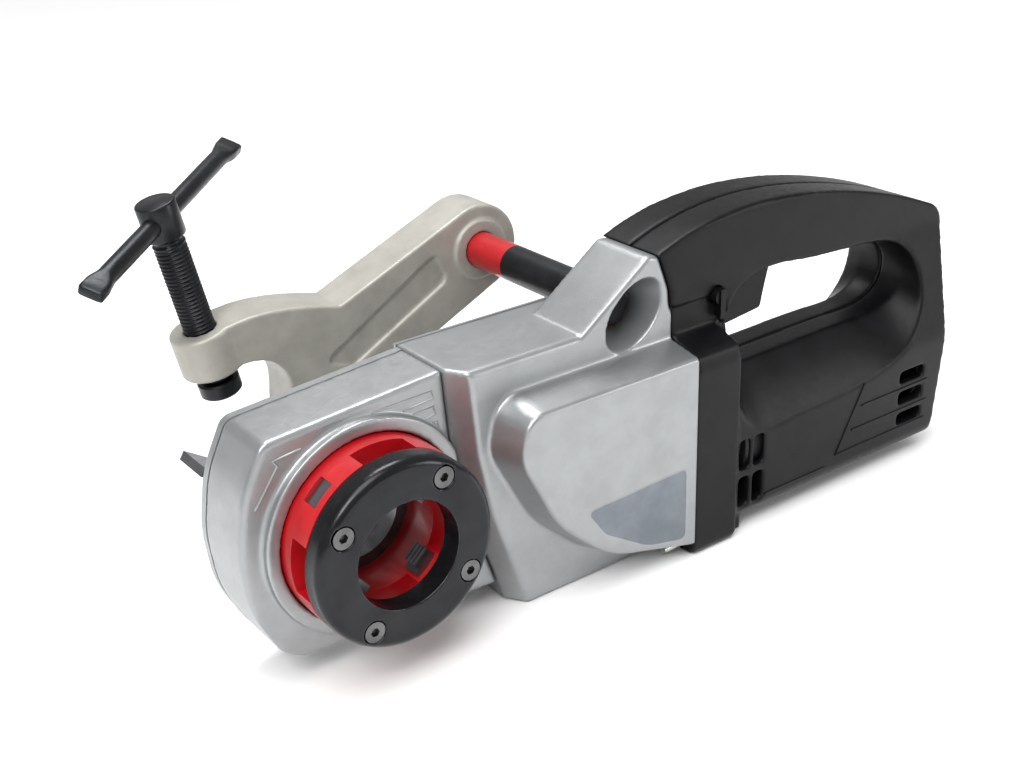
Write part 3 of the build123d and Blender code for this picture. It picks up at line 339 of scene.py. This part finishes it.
def threaded_screw():
    """The screw: tip, helical thread, neck and round head."""
    rows = int((THREAD_END - THREAD_START) / THREAD_PITCH * ROWS_PER_TURN)
    work = bmesh.new()
    rings = []

    def ring(height, radius_at):
        rings.append([work.verts.new((radius_at(a) * math.cos(a), radius_at(a) * math.sin(a), height))
                      for a in (2 * math.pi * k / SCREW_SIDES for k in range(SCREW_SIDES))])

    for height, radius in SCREW_TIP:
        ring(height * MM, lambda a, radius=radius: radius * MM)
    for row in range(rows + 1):
        height = THREAD_START + (THREAD_END - THREAD_START) * row / rows
        fade = min(1.0, row / ROWS_PER_TURN, (rows - row) / ROWS_PER_TURN)

        def thread(a, height=height, fade=fade):
            phase = (height / THREAD_PITCH - a / (2 * math.pi)) % 1.0
            return SCREW_R - THREAD_DEPTH * fade * min(1.0, THREAD_FLANK * abs(2 * phase - 1.0))
        ring(height + JOIN_GAP, thread)
    for height, radius in SCREW_HEAD:
        ring(height * MM, lambda a, radius=radius: radius * MM)
    skin(work, rings)
    return mesh_of(work, "clamp_screw_thread", CLAMP)


def cross_bar():
    """The T-bar: round in the middle, flared and flattened at both ends."""
    work = bmesh.new()
    stations = [(-along, wide, thick) for along, wide, thick in reversed(T_BAR_HALF)] + T_BAR_HALF
    rings = []
    for along, wide, thick in stations:
        square = FLARE_SQUARENESS if thick < FLARE_THICK_LIMIT else 1.0
        ring = []
        for k in range(T_BAR_SIDES):
            angle = 2 * math.pi * k / T_BAR_SIDES
            y = wide * math.copysign(abs(math.cos(angle)) ** square, math.cos(angle))
            z = thick * math.copysign(abs(math.sin(angle)) ** square, math.sin(angle))
            ring.append(work.verts.new((along * MM, y * MM, z * MM)))
        rings.append(ring)
    skin(work, rings)
    bmesh.ops.recalc_face_normals(work, faces=work.faces)
    place = (CLAMP @ Matrix.Translation((0, 0, T_BAR_AT)) @ Matrix.Rotation(T_BAR_TURN, 4, "Z")
             @ Matrix.Translation((T_BAR_SHIFT, 0, 0)) @ Matrix.Rotation(T_BAR_ROLL, 4, "X"))
    return mesh_of(work, "cross_bar", place)


add_piece("clamp_screw_thread", threaded_screw(), "clamp_screw")
add_piece("cross_bar_forged", cross_bar(), "t_bar")


# ---------------------------------------------------------------- raised lines on the faces
def raised_lines(name, lines, y, node, radius):
    """Thin cast or moulded ridges that follow lines of (x, z) on a face that looks along -Y."""
    data = bpy.data.curves.new(name, "CURVE")
    data.dimensions = "3D"
    data.bevel_depth = radius * MM
    data.bevel_resolution = 3
    data.use_fill_caps = True
    for line in lines:
        spline = data.splines.new("POLY")
        spline.points.add(len(line) - 1)
        for point, (x, z) in zip(spline.points, line):
            point.co = (x * MM, y * MM, z * MM, 1)
    curve = bpy.data.objects.new(f"{name}_path", data)
    bpy.context.scene.collection.objects.link(curve)
    add_piece(name, evaluated_mesh(curve), node, stands_for=False)


# lines of (x, z) in mm
ARROW = [[(-51.8, 25.5), (-39.7, 42.2), (-41.9, 45.0), (-28.5, 46.3)]]
CASE_OUTLINES = [
    [(6, 51.7), (37, 52.8), (38, 49.2), (22, 47.8)],
    [(27, 44.6), (37.6, 45.2), (38.4, 41.6), (33, 40.4)],
    [(37.4, 37.4), (39.2, 37.5), (39.8, 34)],
]
PANEL_LINES = [
    [(292.4, -10.2), (272.2, -46.2), (345, -46.3)],
    [(219, -51), (264, -51)],
    [(291.3, -22.75), (345, -22.75)],
    [(284.3, -35.25), (345, -35.25)],
]
CASE_FACE_Y = -15.9
HOUSING_FACE_Y = -44.0
raised_lines("rotation_arrow", ARROW, CASE_FACE_Y, "gear_case", 0.8)
raised_lines("case_outlines", CASE_OUTLINES, CASE_FACE_Y, "gear_case", 0.55)
raised_lines("panel_lines", PANEL_LINES, HOUSING_FACE_Y, "handle_shell_front", 0.6)


# ---------------------------------------------------------------- floor, light and camera
CAMERA_AT = Vector((-0.2698, -0.4978, 0.3163))
YAW, PITCH, ROLL = math.radians(36.01), math.radians(24.63), math.radians(-1.93)
LENS, SENSOR_WIDTH = 50.8, 36


def look():
    """The camera's rotation from its yaw, pitch and roll."""
    ahead = Vector((math.sin(YAW) * math.cos(PITCH), math.cos(YAW) * math.cos(PITCH), -math.sin(PITCH)))
    right = Vector((math.cos(YAW), -math.sin(YAW), 0))
    up = right.cross(ahead)
    turned = math.cos(ROLL) * right + math.sin(ROLL) * up
    upright = -math.sin(ROLL) * right + math.cos(ROLL) * up
    return Matrix((turned, upright, -ahead)).transposed()


camera = bpy.data.objects.new("camera", bpy.data.cameras.new("camera"))
camera.data.lens, camera.data.sensor_width = LENS, SENSOR_WIDTH
camera.data.clip_start = 0.01
camera.matrix_world = Matrix.Translation(CAMERA_AT) @ look().to_4x4()
bpy.context.scene.collection.objects.link(camera)
bpy.context.scene.camera = camera

FLOOR_SIZE = 6
work = bmesh.new()
bmesh.ops.create_grid(work, x_segments=1, y_segments=1, size=FLOOR_SIZE)
floor_mesh = bpy.data.meshes.new("floor")
work.to_mesh(floor_mesh)
work.free()
floor = bpy.data.objects.new("floor", floor_mesh)
floor.location.z = FLOOR_Z
bpy.context.scene.collection.objects.link(floor)
paper = bpy.data.materials.new("pale_floor")
paper.use_nodes = True
paper_shader = paper.node_tree.nodes["Principled BSDF"]
paper_shader.inputs["Base Color"].default_value = (0.93, 0.93, 0.93, 1)
paper_shader.inputs["Roughness"].default_value = 0.9
floor_mesh.materials.append(paper)

bpy.context.scene.view_settings.view_transform = "Standard"
world = bpy.data.worlds.new("studio")
world.use_nodes = True
backdrop = world.node_tree.nodes["Background"]
backdrop.inputs["Color"].default_value = (1, 1, 1, 1)
backdrop.inputs["Strength"].default_value = 0.42
bpy.context.scene.world = world


def soft_light(name, place, target, size, watts):
    """A square area light aimed at a point."""
    data = bpy.data.lights.new(name, "AREA")
    data.size, data.energy = size, watts
    lamp = bpy.data.objects.new(name, data)
    lamp.location = place
    lamp.rotation_mode = "QUATERNION"
    lamp.rotation_quaternion = (Vector(target) - Vector(place)).to_track_quat("-Z", "Y")
    bpy.context.scene.collection.objects.link(lamp)


MIDDLE = (0.13, 0.0, 0.0)
soft_light("key", (-0.8, -0.6, 0.9), MIDDLE, 0.45, 9)
soft_light("top", (0.25, 0.45, 1.1), MIDDLE, 0.5, 10)
soft_light("side", (1.0, -0.9, 0.35), MIDDLE, 0.4, 3.5)
sun = bpy.data.objects.new("sun", bpy.data.lights.new("sun", "SUN"))
sun.data.energy, sun.data.angle = 1.9, math.radians(40)
sun.rotation_euler = (math.radians(18), math.radians(-14), 0)
bpy.context.scene.collection.objects.link(sun)
